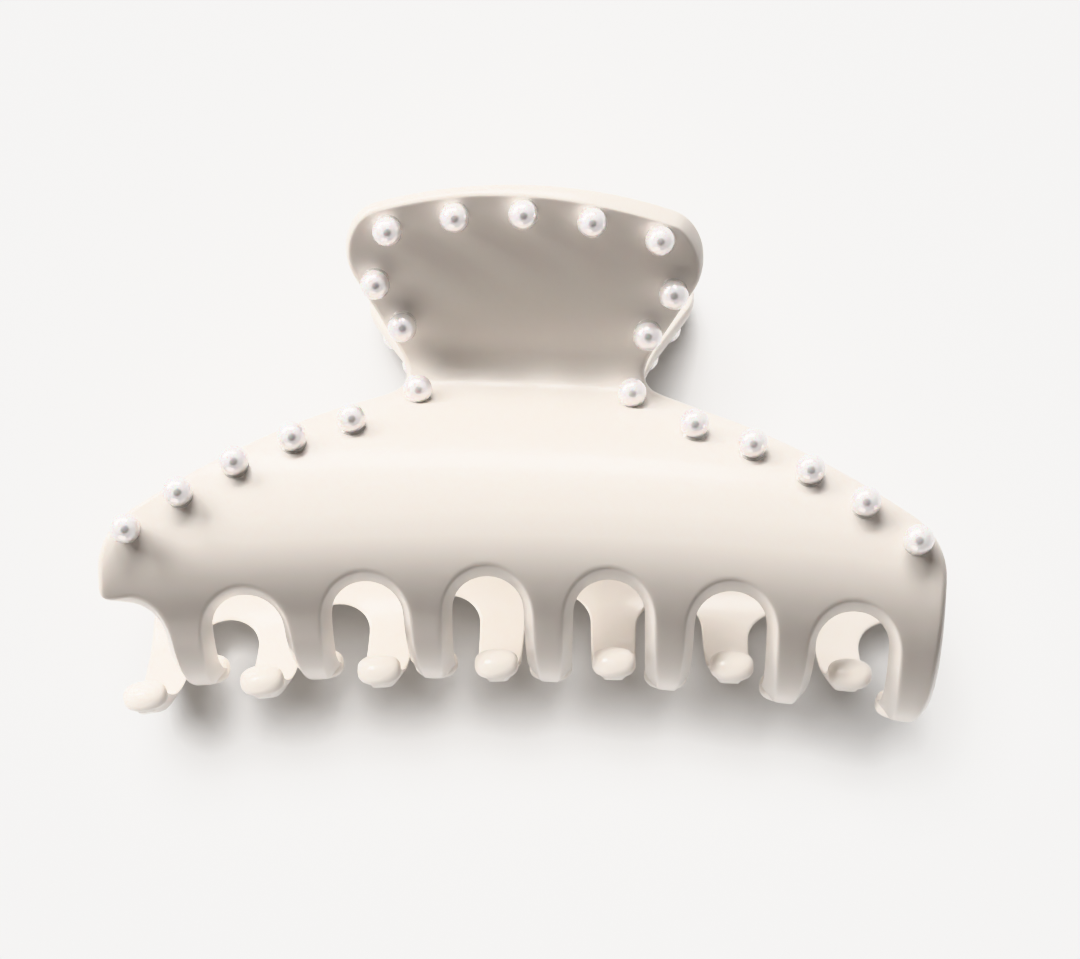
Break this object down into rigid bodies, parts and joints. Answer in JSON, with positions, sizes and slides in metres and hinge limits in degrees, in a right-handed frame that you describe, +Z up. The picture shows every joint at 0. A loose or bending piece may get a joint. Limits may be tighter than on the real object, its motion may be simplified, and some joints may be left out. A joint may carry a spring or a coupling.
{
  "type": "claw clip",
  "caption": "Large sprung claw clip for hair: two moulded jaws with curved prongs and thumb pads on a hinge pin, edged with imitation pearls.",
  "frame": {"origin": "on the table, under the middle of the closed clip's box, as it lies on its back jaw", "axes": "+X along the clip towards the front jaw's end prong, +Y towards the thumb pads, +Z up from the back jaw to the front jaw"},
  "size_m": [0.1112, 0.0712, 0.0471],
  "materials": {
    "ivory_plastic": "glossy opaque moulded plastic",
    "pearl": "pearlescent lacquer",
    "steel": "bright wire",
    "spring_steel": "drawn spring wire"
  },
  "bodies": {
    "back": {"back_jaw": "ivory_plastic", "hinge_pin": "steel", "torsion_spring": "spring_steel", "back_pearl_01": "pearl", "back_pearl_02": "pearl", "back_pearl_03": "pearl", "back_pearl_04": "pearl", "back_pearl_05": "pearl", "back_pearl_06": "pearl", "back_pearl_07": "pearl", "back_pearl_08": "pearl", "back_pearl_09": "pearl", "back_pearl_10": "pearl", "back_pearl_11": "pearl", "back_pearl_12": "pearl", "back_pearl_13": "pearl", "back_pearl_14": "pearl", "back_pearl_15": "pearl", "back_pearl_16": "pearl", "back_pearl_17": "pearl", "back_pearl_18": "pearl", "back_pearl_19": "pearl", "back_pearl_20": "pearl", "back_pearl_21": "pearl"},
    "front": {"front_jaw": "ivory_plastic", "front_pearl_01": "pearl", "front_pearl_02": "pearl", "front_pearl_03": "pearl", "front_pearl_04": "pearl", "front_pearl_05": "pearl", "front_pearl_06": "pearl", "front_pearl_07": "pearl", "front_pearl_08": "pearl", "front_pearl_09": "pearl", "front_pearl_10": "pearl", "front_pearl_11": "pearl", "front_pearl_12": "pearl", "front_pearl_13": "pearl", "front_pearl_14": "pearl", "front_pearl_15": "pearl", "front_pearl_16": "pearl", "front_pearl_17": "pearl", "front_pearl_18": "pearl", "front_pearl_19": "pearl", "front_pearl_20": "pearl", "front_pearl_21": "pearl"}
  },
  "joints": [
    {"name": "jaw_hinge", "type": "hinge", "parent": "back", "child": "front", "pos_m": [0, 0.01279, 0.02345], "axis": [-1, 0, 0], "range_deg": [0, 75], "stiffness_Nm_per_rad": 0.12, "springref_deg": -57.3, "deforming": ["torsion_spring"]}
  ]
}
